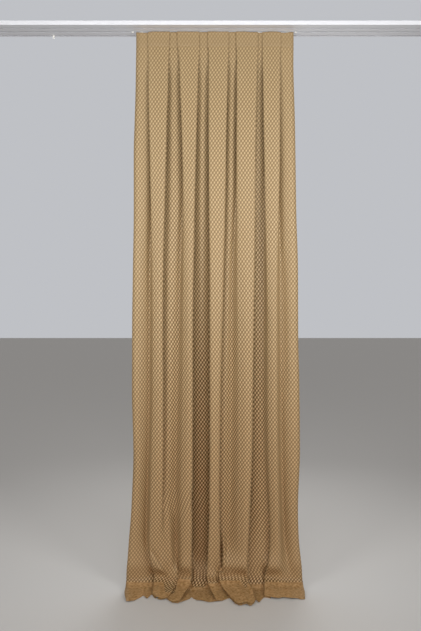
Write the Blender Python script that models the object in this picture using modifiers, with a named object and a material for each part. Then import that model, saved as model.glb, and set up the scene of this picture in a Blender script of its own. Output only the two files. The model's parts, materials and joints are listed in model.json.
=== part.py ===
"""A box-pleated jacquard curtain on a three-channel ceiling track, full length with its foot on the floor.

Metres, +Z up. The origin is at the centre of the track's ceiling face, X runs along the track and -Y faces the
room. The curtain hangs from the middle channel by wire hooks in plastic gliders.
"""

import math
from collections import namedtuple

import bmesh
import bpy
import numpy as np

# Room and track
FLOOR_BELOW_CEILING = 2.67
TRACK_LENGTH = 2.10
TRACK_DEPTH = 0.114
TRACK_HEIGHT = 0.020
TRACK_WALL = 0.0016
CHANNEL_PITCH = 0.035
MIDDLE_CHANNEL_Y = 0.011
CHANNEL_WIDTH = 0.014
CHANNEL_HEIGHT = 0.012
SLOT_WIDTH = 0.006
LIP = 0.0016
CHANNEL_WALL = 0.0014
CHANNELS_Y = tuple(MIDDLE_CHANNEL_Y + CHANNEL_PITCH * k for k in (-1, 0, 1))

# Cloth
CLOTH = 0.002
HEADING_TOP = 0.0235
HEADING_FOOT = 0.098
HEADING_DEPTH = 0.0104
FOLD_RADIUS = 0.0026
UNDERLAP = 0.0345
HANG_Y = -0.001
GAP = 0.0003

# Heading tape, hooks and gliders
TAPE = 0.0012
TAPE_TOP = 0.028
TAPE_FOOT = 0.096
TAPE_INSET = 0.006
HOOKS = 11
HOOK_SPAN = 0.70
HOOK_CENTRE_X = 0.0015
HOOK_WIRE_RADIUS = 0.0008
GLIDER_HEAD = (0.012, 0.010, 0.004)
GLIDER_SHANK = (0.008, 0.003)
GLIDER_FOOT = 0.036
EYE_RADIUS = 0.0022
EYE_BELOW = 0.0315
EYE_SEAT = 0.0009
HOOK_FOOT = 0.0815
HOOK_BEND = 0.0030
HOOK_PRONG = 0.0220
HOOK_PRONG_GAP = 0.0040
HOOK_TOP_REACH = 0.0040
HOOK_TOP_RISE = 0.0048
HOOK_EYE_RUN = 0.0018
STOP_LENGTH = 0.010
STOP_HEAD = (0.0108, 0.0035)
STOP_NECK = 0.0044
STOP_BELOW = 0.0040
STOPS_X = (-0.392, 0.391)
SPARE_GLIDER_X = -0.782
SCREWS_X = (-0.724, -0.024, 0.662)
SCREW_HEAD_RADIUS = 0.0042
SCREW_HEAD = 0.0024
SCREW_RIM = 0.4
SCREW_CROWN = (0.7, 0.85)

# Fold lines: where each side and each pleat edge stands along X, at six heights below the ceiling, where the foot
# bends and at the hem. lap is how far its wall is tucked behind the panel (+) or shows beside it (-) once the pleats
# have opened, and lying is how much cloth lies on the floor past the bend. A panel's left edge comes before its right.
FoldLine = namedtuple("FoldLine", "name heading at_046 at_070 at_122 at_178 at_235 bend hem lap lying")
HEIGHTS = (HEADING_FOOT, 0.456, 0.696, 1.217, 1.781, 2.345)
FOLD_LINES = (
    FoldLine("left side", -0.375, -0.377, -0.382, -0.384, -0.386, -0.391, -0.405, -0.397, 0.0, 0.083),
    FoldLine("panel 1 left", -0.320, -0.313, -0.309, -0.304, -0.298, -0.302, -0.306, -0.306, -0.014, 0.060),
    FoldLine("panel 1 right", -0.217, -0.223, -0.228, -0.238, -0.233, -0.233, -0.222, -0.205, 0.008, 0.082),
    FoldLine("panel 2 left", -0.174, -0.160, -0.153, -0.148, -0.144, -0.143, -0.146, -0.160, -0.030, 0.096),
    FoldLine("panel 2 right", -0.074, -0.080, -0.085, -0.092, -0.101, -0.101, -0.094, -0.082, 0.010, 0.072),
    FoldLine("panel 3 left", -0.033, -0.034, -0.034, -0.028, -0.023, -0.024, -0.020, -0.024, 0.006, 0.086),
    FoldLine("panel 3 right", 0.069, 0.060, 0.055, 0.047, 0.032, 0.028, 0.036, 0.054, 0.006, 0.090),
    FoldLine("panel 4 left", 0.104, 0.103, 0.102, 0.110, 0.120, 0.120, 0.117, 0.102, -0.030, 0.104),
    FoldLine("panel 4 right", 0.205, 0.199, 0.198, 0.190, 0.176, 0.169, 0.168, 0.182, 0.008, 0.114),
    FoldLine("panel 5 left", 0.229, 0.233, 0.235, 0.247, 0.256, 0.251, 0.241, 0.228, -0.030, 0.070),
    FoldLine("panel 5 right", 0.317, 0.316, 0.313, 0.306, 0.303, 0.307, 0.310, 0.306, -0.012, 0.052),
    FoldLine("right side", 0.378, 0.379, 0.383, 0.393, 0.398, 0.394, 0.403, 0.410, 0.0, 0.060),
)

# Rows of the hanging part: how far below the ceiling, how far the pleats have opened, and the fold radius there
HangingRow = namedtuple("HangingRow", "below opening radius")
HANGING_ROWS = (
    HangingRow(HEADING_TOP, 0.00, FOLD_RADIUS),
    HangingRow(HEADING_FOOT, 0.00, FOLD_RADIUS),
    HangingRow(0.200, 0.07, 0.0036),
    HangingRow(0.330, 0.17, 0.0052),
    HangingRow(0.456, 0.27, 0.0068),
    HangingRow(0.696, 0.46, 0.0100),
    HangingRow(0.950, 0.64, 0.0135),
    HangingRow(1.217, 0.80, 0.0165),
    HangingRow(1.500, 0.92, 0.0190),
    HangingRow(1.781, 1.00, 0.0200),
    HangingRow(2.060, 1.00, 0.0200),
    HangingRow(2.345, 1.00, 0.0200),
)

# Foot: the cloth turns from the hang line onto the floor round a bend, and the pleats close again as it lies down
BEND_RADIUS = 0.085
LYING = 0.09
FLOOR_DEPTH = 0.0120
FLOOR_RADIUS = 0.0030
FootRow = namedtuple("FootRow", "turn_degrees lying_share")
FOOT_ROWS = (
    FootRow(0, 0.0),
    FootRow(12, 0.0),
    FootRow(24, 0.0),
    FootRow(36, 0.0),
    FootRow(48, 0.0),
    FootRow(60, 0.0),
    FootRow(74, 0.0),
    FootRow(90, 0.0),
    FootRow(90, 0.35),
    FootRow(90, 0.70),
    FootRow(90, 1.00),
)
ARC_STEPS = 3

# Limits of the search for a row's depth or laps, and how full of arc a narrow panel may be
DEEPEST_PLEAT = 0.2
LAP_SEARCH = (-0.05, 0.06)
HALVINGS = 40
ROUNDEST_PANEL = 0.98

COLOURS = {
    "cloth": ((0.52, 0.34, 0.15), 0.55, 0.0),
    "tape": ((0.80, 0.77, 0.70), 0.75, 0.0),
    "aluminium": ((0.62, 0.62, 0.64), 0.38, 1.0),
    "plastic": ((0.86, 0.86, 0.84), 0.45, 0.0),
    "steel": ((0.70, 0.70, 0.70), 0.28, 1.0),
}


def clear_scene():
    for thing in list(bpy.data.objects):
        bpy.data.objects.remove(thing, do_unlink=True)


def material(name):
    """A Principled material with the finish named in COLOURS."""
    found = bpy.data.materials.get(name)
    if found:
        return found
    colour, roughness, metallic = COLOURS[name]
    made = bpy.data.materials.new(name)
    made.use_nodes = True
    surface = made.node_tree.nodes["Principled BSDF"]
    surface.inputs["Base Color"].default_value = (*colour, 1.0)
    surface.inputs["Roughness"].default_value = roughness
    surface.inputs["Metallic"].default_value = metallic
    return made


def add_object(name, mesh, finish, collection):
    thing = bpy.data.objects.new(name, mesh)
    collection.objects.link(thing)
    mesh.materials.clear()
    mesh.materials.append(material(finish))
    return thing


def mesh_from(shape, name):
    """Turns a bmesh into a mesh, with its faces pointing outwards."""
    bmesh.ops.recalc_face_normals(shape, faces=shape.faces)
    mesh = bpy.data.meshes.new(name)
    shape.to_mesh(mesh)
    shape.free()
    return mesh


# ---------------------------------------------------------------- the cloth's cross-section


def smooth_table(at, places, values):
    """Reads a table between its rows on a curve that never overshoots them. values is one row per place."""
    places, values = np.asarray(places), np.asarray(values)
    steps = np.diff(places)[:, None]
    slopes = np.diff(values, axis=0) / steps
    before, after = slopes[:-1], slopes[1:]
    inner = np.where(before * after > 0, 2 * before * after / np.where(before + after == 0, 1, before + after), 0)
    tangents = np.vstack([slopes[:1], inner, slopes[-1:]])
    k = int(np.clip(np.searchsorted(places, at) - 1, 0, len(steps) - 1))
    t = float(np.clip((at - places[k]) / steps[k, 0], 0, 1))
    hold, rise = 2 * t**3 - 3 * t**2 + 1, t**3 - 2 * t**2 + t
    reach, fall = 3 * t**2 - 2 * t**3, t**3 - t**2
    return (
        hold * values[k]
        + rise * steps[k, 0] * tangents[k]
        + reach * values[k + 1]
        + fall * steps[k, 0] * tangents[k + 1]
    )


def pleat_arcs(edges, laps, depth, radius):
    """The two arcs at each pleat edge, and the angle and length of the wall between them.

    A wall is the straight line that leaves the front arc and meets the back arc. edges are where the folds stand
    along X, and a lap tucks the back arc behind the panel (+) or sets it beside the panel (-).
    """
    rising = np.arange(len(edges)) % 2 == 0
    widths = edges[1::2] - edges[::2]
    radii = np.minimum(radius, np.repeat(widths / 2, 2) * ROUNDEST_PANEL)
    across = 2 * radii - laps
    down = depth - 2 * radii
    apart = np.hypot(across, down)
    angle = np.arctan2(down, across) + np.arcsin(np.clip(2 * radii / apart, -1, 1))
    wall = np.sqrt(np.maximum(apart**2 - 4 * radii**2, 0))
    first = np.where(rising, edges + laps - radii, edges - radii)
    second = np.where(rising, edges + radii, edges - laps + radii)
    return first, second, radii, angle, wall, rising


def section_length(sides, edges, laps, depth, radius):
    first, second, radii, angle, wall, _ = pleat_arcs(edges, laps, depth, radius)
    flats = np.append(first, sides[1]) - np.append(sides[0], second)
    return float(np.sum(flats) + np.sum(2 * radii * angle + wall))


def section_points(sides, edges, laps, depth, radius):
    """X and depth (0 at the back, depth at the front) of the cloth from its left side to its right side."""
    first, second, radii, angle, _, rising = pleat_arcs(edges, laps, depth, radius)
    turn = angle[:, None] * np.linspace(0, 1, ARC_STEPS + 1)
    back = turn[:, ::-1]
    x_first = first[:, None] + radii[:, None] * np.sin(turn)
    x_second = second[:, None] - radii[:, None] * np.sin(back)
    lift_first = radii[:, None] * (1 - np.cos(turn))
    lift_second = radii[:, None] * (1 - np.cos(back))
    level_first = np.where(rising[:, None], lift_first, depth - lift_first)
    level_second = np.where(rising[:, None], depth - lift_second, lift_second)
    x = np.hstack([x_first, x_second]).ravel()
    level = np.hstack([level_first, level_second]).ravel()
    return np.concatenate([[sides[0]], x, [sides[1]]]), np.concatenate([[0], level, [0]])


def bisect(measure, wanted, low, high):
    """The value between low and high at which measure, which rises with it, gives what is wanted."""
    for _ in range(HALVINGS):
        middle = (low + high) / 2
        low, high = (middle, high) if measure(middle) < wanted else (low, middle)
    return (low + high) / 2


def fold_line_places():
    """The places where the fold table is read: its hanging heights, then the foot's bend and hem."""
    return (*HEIGHTS, FLOOR_BELOW_CEILING - BEND_RADIUS, FLOOR_BELOW_CEILING + LYING)


def fold_lines_at(along):
    """The two sides and the ten pleat edges, along X, at a distance below the ceiling measured along the cloth."""
    table = np.array([line[1:-2] for line in FOLD_LINES]).T
    lines = smooth_table(along, fold_line_places(), table)
    return lines[[0, -1]], lines[1:-1]


def open_laps():
    return np.array([line.lap for line in FOLD_LINES[1:-1]])


def cloth_width():
    """The flat width of the cloth, from the flat pleats of the heading."""
    sides, edges = fold_lines_at(HEADING_TOP)
    laps = np.full(len(edges), UNDERLAP)
    return section_length(sides, edges, laps, HEADING_DEPTH, FOLD_RADIUS)


def hanging_row(below, opening, radius, width):
    """A level row. Its depth is what the cloth's width leaves for it, apart from the heading, which is pressed flat."""
    sides, edges = fold_lines_at(below)
    laps = UNDERLAP * (1 - opening) + open_laps() * opening
    depth = HEADING_DEPTH
    if opening:
        depth = bisect(lambda d: section_length(sides, edges, laps, d, radius), width, 4 * radius, DEEPEST_PLEAT)
    x, level = section_points(sides, edges, laps, depth, radius)
    y = HANG_Y + depth / 2 - level
    return np.column_stack([x, y, np.full_like(x, -below)]), depth


def foot_row(turn_degrees, lying_share, hanging_depth, width):
    """A row of the bend or of the part that lies on the floor: the section turns from facing the room to facing up."""
    turn = math.radians(turn_degrees)
    still_up = math.cos(turn) ** 2
    depth = FLOOR_DEPTH + (hanging_depth - FLOOR_DEPTH) * still_up
    radius = FLOOR_RADIUS + (HANGING_ROWS[-1].radius - FLOOR_RADIUS) * still_up
    lying = np.array([line.lying for line in FOLD_LINES]) * lying_share
    along = FLOOR_BELOW_CEILING - BEND_RADIUS + BEND_RADIUS * turn + lying.mean()
    sides, edges = fold_lines_at(along)
    laps = open_laps() * (1 - turn / (math.pi / 2))
    more = bisect(lambda lap: section_length(sides, edges, laps + lap, depth, radius), width, *LAP_SEARCH)
    x, level = section_points(sides, edges, laps + more, depth, radius)
    lowest = (FLOOR_DEPTH + CLOTH) / 2
    rise = lowest + (BEND_RADIUS - lowest) * (1 - math.sin(turn))
    from_middle = level - depth / 2
    forward = BEND_RADIUS * (1 - math.cos(turn)) + np.interp(x, [sides[0], *edges, sides[1]], lying)
    y = HANG_Y - forward - from_middle * math.cos(turn)
    z = -FLOOR_BELOW_CEILING + rise + from_middle * math.sin(turn)
    return np.column_stack([x, y, z])


def curtain_rows():
    width = cloth_width()
    rows = []
    depth = HEADING_DEPTH
    for below, opening, radius in HANGING_ROWS:
        row, depth = hanging_row(below, opening, radius, width)
        rows.append(row)
    for turn_degrees, lying_share in FOOT_ROWS:
        rows.append(foot_row(turn_degrees, lying_share, depth, width))
    return np.array(rows)


def build_curtain(collection):
    """Lofts the cloth through its rows as an open sheet and gives it its thickness."""
    rows = curtain_rows()
    down, across, _ = rows.shape
    index = np.arange(down * across).reshape(down, across)
    quads = np.stack([index[:-1, :-1], index[1:, :-1], index[1:, 1:], index[:-1, 1:]], axis=-1).reshape(-1, 4)
    mesh = bpy.data.meshes.new("curtain")
    mesh.from_pydata(rows.reshape(-1, 3).tolist(), [], quads.tolist())
    curtain = add_object("curtain", mesh, "cloth", collection)
    thickness = curtain.modifiers.new("cloth thickness", "SOLIDIFY")
    thickness.thickness = CLOTH
    thickness.offset = 0.0
    mesh.shade_smooth()
    return curtain


# ---------------------------------------------------------------- track and fittings


def loop_spline(curve, points):
    spline = curve.splines.new("POLY")
    spline.points.add(len(points) - 1)
    for point, (y, z) in zip(spline.points, points):
        point.co = (y, z, 0, 1)
    spline.use_cyclic_u = True


def solid_from_outlines(name, outlines, thickness, axes, collection):
    """Extrudes closed outlines, the later ones as holes in the first, and turns the result with axes, which gives for
    X, Y and Z the outline's own axis (0, 1) or its thickness (2)."""
    curve = bpy.data.curves.new(name, "CURVE")
    curve.dimensions = "2D"
    curve.fill_mode = "BOTH"
    curve.extrude = thickness / 2
    for outline in outlines:
        loop_spline(curve, outline)
    guide = bpy.data.objects.new(name, curve)
    collection.objects.link(guide)
    shape = bmesh.new()
    shape.from_mesh(bpy.data.meshes.new_from_object(guide.evaluated_get(bpy.context.evaluated_depsgraph_get())))
    bpy.data.objects.remove(guide, do_unlink=True)
    bpy.data.curves.remove(curve)
    bmesh.ops.remove_doubles(shape, verts=shape.verts, dist=0.00001)
    for vertex in shape.verts:
        vertex.co = [vertex.co[axis] for axis in axes]
    return mesh_from(shape, name)


def channel_outline(centre):
    """A channel cut up into the track from below, from its left lip to its right lip."""
    slot, half = SLOT_WIDTH / 2, CHANNEL_WIDTH / 2
    floor, roof = -TRACK_HEIGHT, -TRACK_HEIGHT + LIP + CHANNEL_HEIGHT
    lip = floor + LIP
    return [
        (centre - slot, floor),
        (centre - slot, lip),
        (centre - half, lip),
        (centre - half, roof),
        (centre + half, roof),
        (centre + half, lip),
        (centre + slot, lip),
        (centre + slot, floor),
    ]


def chamber_outline(left, right):
    top, foot = -TRACK_WALL, -TRACK_HEIGHT + TRACK_WALL
    return [(left, foot), (right, foot), (right, top), (left, top)]


def build_track(collection):
    """An extrusion with three slotted channels and hollow chambers between them, cut square at both ends."""
    front, rear = -TRACK_DEPTH / 2, TRACK_DEPTH / 2
    outline = [(front, 0), (front, -TRACK_HEIGHT)]
    for centre in CHANNELS_Y:
        outline += channel_outline(centre)
    outline += [(rear, -TRACK_HEIGHT), (rear, 0)]
    walls = CHANNEL_WIDTH / 2 + CHANNEL_WALL
    starts = (front + TRACK_WALL, *(y + walls for y in CHANNELS_Y[:-1]))
    ends = tuple(y - walls for y in CHANNELS_Y)
    chambers = [chamber_outline(left, right) for left, right in zip(starts, ends)]
    mesh = solid_from_outlines("track", [outline, *chambers], TRACK_LENGTH, (2, 0, 1), collection)
    return add_object("track", mesh, "aluminium", collection)


def glider_mesh(collection):
    """A slider head that rests on the channel's lips, joined to a flat shank with a round eye below the slot."""
    lip_top = -TRACK_HEIGHT + LIP + GAP
    head_x, head_y, head_z = GLIDER_HEAD
    shank_x, shank_y = GLIDER_SHANK
    head = build_box("glider head", GLIDER_HEAD, (0, 0, lip_top + head_z / 2), "plastic", collection)
    half = shank_x / 2
    tab_top, round_z = lip_top + head_z / 2, -GLIDER_FOOT + half
    tab = [(half * math.cos(a), round_z + half * math.sin(a)) for a in np.linspace(-math.pi, 0, 7)]
    tab += [(half, tab_top), (-half, tab_top)]
    eye = [(EYE_RADIUS * math.cos(a), -EYE_BELOW + EYE_RADIUS * math.sin(a)) for a in np.arange(8) * math.pi / 4]
    shank_mesh = solid_from_outlines("glider shank", [tab, eye], shank_y, (0, 2, 1), collection)
    shank = add_object("glider shank", shank_mesh, "plastic", collection)
    join = head.modifiers.new("join", "BOOLEAN")
    join.operation = "UNION"
    join.object = shank
    whole = bpy.data.meshes.new_from_object(head.evaluated_get(bpy.context.evaluated_depsgraph_get()))
    for used in (head, shank):
        bpy.data.objects.remove(used, do_unlink=True)
    return whole


def build_gliders(places, collection):
    """Gliders named in places, as {name: (x, channel y)}, which share one mesh."""
    whole = glider_mesh(collection)
    for name, (x, y) in places.items():
        add_object(name, whole, "plastic", collection).location = (x, y, 0)


def build_hook(name, x, tape_back, collection):
    """A wire hook through the glider's eye and down the back of the heading tape, with its foot turned up."""
    against_tape = tape_back + GAP + HOOK_WIRE_RADIUS
    behind = MIDDLE_CHANNEL_Y + HOOK_TOP_REACH
    in_eye = -EYE_BELOW - EYE_SEAT
    half_bend = HOOK_PRONG_GAP / 2
    turns = np.linspace(-math.pi, 0, 5)
    bend = [
        (against_tape + half_bend + half_bend * math.cos(a), -HOOK_FOOT + HOOK_BEND * (1 + math.sin(a)))
        for a in turns
    ]
    route = [
        (behind, in_eye + HOOK_TOP_RISE),
        (behind, in_eye + HOOK_TOP_RISE / 2),
        (MIDDLE_CHANNEL_Y + HOOK_EYE_RUN, in_eye),
        (MIDDLE_CHANNEL_Y - HOOK_EYE_RUN, in_eye),
        (against_tape, in_eye - HOOK_BEND),
        *bend,
        (against_tape + HOOK_PRONG_GAP, -HOOK_FOOT + HOOK_PRONG),
    ]
    curve = bpy.data.curves.new(name, "CURVE")
    curve.dimensions = "3D"
    curve.bevel_depth = HOOK_WIRE_RADIUS
    curve.bevel_resolution = 1
    curve.use_fill_caps = True
    spline = curve.splines.new("POLY")
    spline.points.add(len(route) - 1)
    for point, (y, z) in zip(spline.points, route):
        point.co = (x, y, z, 1)
    hook = bpy.data.objects.new(name, curve)
    collection.objects.link(hook)
    curve.materials.append(material("steel"))
    weld = hook.modifiers.new("close caps", "WELD")
    weld.merge_threshold = 0.00001


def build_box(name, size, centre, finish, collection):
    shape = bmesh.new()
    corners = bmesh.ops.create_cube(shape, size=1)["verts"]
    bmesh.ops.scale(shape, vec=size, verts=corners)
    bmesh.ops.translate(shape, vec=centre, verts=corners)
    return add_object(name, mesh_from(shape, name), finish, collection)


def build_tape(collection):
    """A flat band across the backs of all the pleats. Gives where its own back is, along Y."""
    sides, _ = fold_lines_at(HEADING_TOP)
    cloth_back = HANG_Y + HEADING_DEPTH / 2 + CLOTH / 2
    left, right = sides[0] + TAPE_INSET, sides[1] - TAPE_INSET
    size = (right - left, TAPE, TAPE_FOOT - TAPE_TOP)
    centre = ((left + right) / 2, cloth_back + GAP + TAPE / 2, -(TAPE_TOP + TAPE_FOOT) / 2)
    build_box("heading_tape", size, centre, "tape", collection)
    return cloth_back + GAP + TAPE


def build_stops(collection):
    """End stops clamped on the middle channel's lips, one beside each side of the curtain."""
    lip_top = -TRACK_HEIGHT + LIP + GAP
    head_y, neck_y = STOP_HEAD[0] / 2, STOP_NECK / 2
    outline = [
        (-neck_y, -TRACK_HEIGHT - STOP_BELOW),
        (neck_y, -TRACK_HEIGHT - STOP_BELOW),
        (neck_y, lip_top),
        (head_y, lip_top),
        (head_y, lip_top + STOP_HEAD[1]),
        (-head_y, lip_top + STOP_HEAD[1]),
        (-head_y, lip_top),
        (-neck_y, lip_top),
    ]
    mesh = solid_from_outlines("stop", [outline], STOP_LENGTH, (2, 0, 1), collection)
    for name, x in zip(("stop_left", "stop_right"), STOPS_X):
        add_object(name, mesh, "plastic", collection).location = (x, MIDDLE_CHANNEL_Y, 0)


def build_screws(collection):
    """Pan-head screws up through the front channel's roof, turned from their profile."""
    roof = -TRACK_HEIGHT + LIP + CHANNEL_HEIGHT
    top = roof - GAP
    crown_radius, crown_drop = SCREW_CROWN
    profile = [
        (0.0, top),
        (SCREW_HEAD_RADIUS, top),
        (SCREW_HEAD_RADIUS, top - SCREW_HEAD * SCREW_RIM),
        (SCREW_HEAD_RADIUS * crown_radius, top - SCREW_HEAD * crown_drop),
        (0.0, top - SCREW_HEAD),
    ]
    for name, x in zip(("screw_left", "screw_middle", "screw_right"), SCREWS_X):
        mesh = bpy.data.meshes.new(name)
        edges = [(k, k + 1) for k in range(len(profile) - 1)]
        mesh.from_pydata([(r, 0, z) for r, z in profile], edges, [])
        screw = add_object(name, mesh, "steel", collection)
        screw.location = (x, CHANNELS_Y[0], 0)
        turn = screw.modifiers.new("turn", "SCREW")
        turn.steps = 16
        turn.render_steps = 16
        turn.use_merge_vertices = True
        turn.merge_threshold = 0.00001


def main():
    clear_scene()
    collection = bpy.data.collections.new("pleated curtain on a ceiling track")
    bpy.context.scene.collection.children.link(collection)
    build_track(collection)
    build_curtain(collection)
    tape_back = build_tape(collection)
    across = np.linspace(-HOOK_SPAN / 2, HOOK_SPAN / 2, HOOKS) + HOOK_CENTRE_X
    places = {f"glider_{k + 1:02d}": (float(x), MIDDLE_CHANNEL_Y) for k, x in enumerate(across)}
    places["spare_glider"] = (SPARE_GLIDER_X, CHANNELS_Y[2])
    build_gliders(places, collection)
    for k, x in enumerate(across):
        build_hook(f"hook_{k + 1:02d}", float(x), tape_back, collection)
    build_stops(collection)
    build_screws(collection)


main()
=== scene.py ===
"""The looks of a box-pleated jacquard curtain on its three-channel ceiling track.

Metres, +Z up. The origin is the centre of the track's ceiling face, X runs along the track and -Y faces the
room. The cloth is worked out as one grid of threads: a column is a warp thread that runs from the heading to
the hem, and a row is a weft thread that goes from side to side through every pleat. Where a row stands is
told by its station, the distance below the ceiling measured down the cloth and then along the floor.
"""

import json
import logging
import math
from dataclasses import dataclass, field
from enum import Enum
from typing import Callable

import bpy
import numpy as np
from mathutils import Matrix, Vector


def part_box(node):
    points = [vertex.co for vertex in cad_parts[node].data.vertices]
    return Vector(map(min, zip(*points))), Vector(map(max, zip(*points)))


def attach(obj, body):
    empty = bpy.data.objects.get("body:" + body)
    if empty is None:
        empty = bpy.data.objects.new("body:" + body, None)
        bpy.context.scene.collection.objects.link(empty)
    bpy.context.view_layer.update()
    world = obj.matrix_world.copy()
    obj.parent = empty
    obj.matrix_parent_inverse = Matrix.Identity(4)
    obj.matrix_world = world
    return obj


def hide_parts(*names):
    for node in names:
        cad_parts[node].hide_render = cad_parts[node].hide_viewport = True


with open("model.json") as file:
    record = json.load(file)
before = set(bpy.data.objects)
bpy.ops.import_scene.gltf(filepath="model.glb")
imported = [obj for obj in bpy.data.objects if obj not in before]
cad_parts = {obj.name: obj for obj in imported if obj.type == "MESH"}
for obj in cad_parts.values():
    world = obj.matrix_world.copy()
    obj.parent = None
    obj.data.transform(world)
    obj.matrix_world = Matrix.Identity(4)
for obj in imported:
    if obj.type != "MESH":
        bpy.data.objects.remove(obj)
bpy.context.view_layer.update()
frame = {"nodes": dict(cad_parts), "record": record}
log = logging.getLogger("curtain")

Array = np.ndarray
Colour = tuple[float, float, float, float]
Place = tuple[float, float, float]
MM = 1000  # millimetres in a metre, as the tables are in millimetres
TINY = 1e-9  # stands in for nought where something is divided by it
HALVINGS = 40  # how often solve halves its interval
WINDOW_REACH = 3  # how many standard deviations a Gaussian window reaches to each side
LEAST_REACH = 0.01  # the narrowest window, in samples, which leaves a row as it is
FLOOR_BELOW_CEILING = 2.67


@dataclass(frozen=True)
class Table:
    """Values down the cloth: one value, or a row of them, for each station."""

    stations: tuple[float, ...]
    rows: tuple[float, ...] | tuple[tuple[float, ...], ...]

    def read(self, at: Array) -> Array:
        """Reads the table between its rows on a smooth curve that never overshoots them.

        The curve between two rows is a cubic whose slope at each row is the harmonic mean of the slopes on
        either side, and level where they change sign.

        Args:
            at: the stations to read it at.

        Returns:
            A row of values for each of them.
        """
        places = np.asarray(self.stations, float)
        values = np.asarray(self.rows, float).reshape(len(places), -1)
        steps = np.diff(places)[:, None]
        slopes = np.diff(values, axis=0) / steps
        before, after = slopes[:-1], slopes[1:]
        total = np.where(before + after == 0, 1, before + after)
        inner = np.where(before * after > 0, 2 * before * after / total, 0)
        tangents = np.vstack([slopes[:1], inner, slopes[-1:]])
        k = np.clip(np.searchsorted(places, at) - 1, 0, len(steps) - 1)
        step = steps[k]
        t = np.clip((np.asarray(at)[:, None] - places[k][:, None]) / step, 0, 1)
        hold = 2 * t**3 - 3 * t**2 + 1
        rise = (t**3 - 2 * t**2 + t) * step
        reach = 3 * t**2 - 2 * t**3
        fall = (t**3 - t**2) * step
        return hold * values[k] + rise * tangents[k] + reach * values[k + 1] + fall * tangents[k + 1]


@dataclass(frozen=True)
class Fold:
    """One edge of a pleat, in millimetres, from the heading to the hem.

    x is the edge's place at each of the LINE_STATIONS. The rest are read at the SHAPE_STATIONS: before and
    after are how far the cloth on its left and on its right stands behind the front of the curtain, lap is
    how far the fold is tucked under (below zero it stands open as a slope), and radius is how round it is.
    """

    name: str
    x: tuple[float, ...]
    before: tuple[float, ...]
    after: tuple[float, ...]
    lap: tuple[float, ...]
    radius: tuple[float, ...]


@dataclass(frozen=True)
class Crease:
    """A ridge or a trough along a line on the hung cloth, in millimetres.

    route is the line's x and station, with the station in metres. height is how far it stands out, below zero
    for a trough, and left and right are how wide it is on the two sides of its line.
    """

    name: str
    route: tuple[tuple[float, float], ...]
    height: float
    left: float
    right: float


# Where the rows of the tables stand. The cloth bends onto the floor from BEND_START to BEND_END.
HEADING_ROWS = (0.0235, 0.03, 0.045, 0.065, 0.083, 0.0895, 0.0915, 0.093, 0.0945, 0.0965, 0.098)
HEADING_FOOT = HEADING_ROWS[-1]
DROP_START = 2.40
BEND_START = 2.62
BEND_END = 2.70
HEM_STATION = 2.79
LINE_STATIONS = (0.0235, 0.098, 0.166, 0.31, 0.455, 0.598, 0.885, 1.169, 1.453, 1.735, 2.017, 2.299, 2.44,
                 2.533, 2.62, 2.7, 2.79)
SHAPE_STATIONS = (0.0235, 0.098, 0.25, 0.598, 0.885, 1.169, 1.735, 2.299, 2.44, 2.55, 2.62, 2.7, 2.79)
FLUSH = (0,) * len(SHAPE_STATIONS)

# The cloth's two sides, in millimetres: their x, and how far they stand behind the front of the curtain.
LEFT_SIDE = (-375, -375, -376, -378, -382, -386, -385, -388, -391, -391, -384, -393, -404, -410, -416, -416,
             -398)
RIGHT_SIDE = (379, 379, 378, 381, 385, 387, 390, 397, 397, 402, 404, 394, 398, 407, 414, 416, 410)
SIDE_DEPTH = (5.4, 5.4, 14, 18, 18, 16, 14, 12, 10, 6, 4, 8, 9)

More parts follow.
